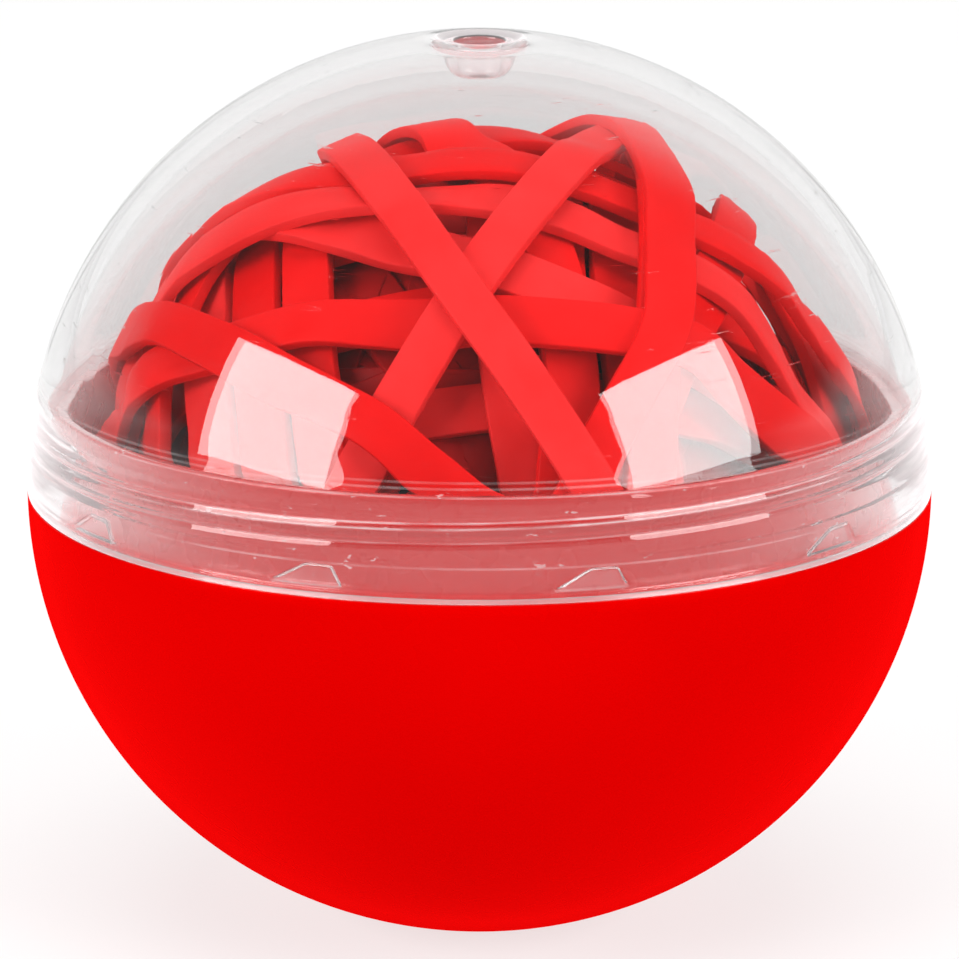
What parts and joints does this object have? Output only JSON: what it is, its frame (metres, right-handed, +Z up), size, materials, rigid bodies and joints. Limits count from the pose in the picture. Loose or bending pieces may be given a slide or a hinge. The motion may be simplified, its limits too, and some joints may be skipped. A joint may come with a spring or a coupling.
{
  "type": "rubber band ball",
  "caption": "Ball wound from flat red rubber bands, in a round desk holder with a red base and a clear screw-on dome lid.",
  "frame": {"origin": "middle of the base's flat foot, on the surface that the globe stands on", "axes": "+Z up through the hole in the lid, -Y towards the viewer, +X to the right"},
  "size_m": [0.065, 0.065, 0.0641],
  "materials": {
    "red_plastic": "gloss",
    "clear_plastic": "clear gloss",
    "red_rubber": "satin"
  },
  "bodies": {
    "base": {"base": "red_plastic", "inner_winding": "red_rubber", "band_01": "red_rubber", "band_02": "red_rubber", "band_03": "red_rubber", "band_04": "red_rubber", "band_05": "red_rubber", "band_06": "red_rubber", "band_07": "red_rubber", "band_08": "red_rubber", "band_09": "red_rubber", "band_10": "red_rubber", "band_11": "red_rubber", "band_12": "red_rubber", "band_13": "red_rubber", "band_14": "red_rubber", "band_15": "red_rubber", "band_16": "red_rubber", "band_17": "red_rubber", "band_18": "red_rubber", "band_19": "red_rubber", "band_20": "red_rubber", "band_21": "red_rubber", "band_22": "red_rubber", "band_23": "red_rubber"},
    "lid": {"dome_lid": "clear_plastic"}
  },
  "joints": [
    {"name": "lid_lift", "type": "slide", "parent": "base", "child": "lid", "axis": [0, 0, 1], "range_m": [0, 0.032]}
  ]
}
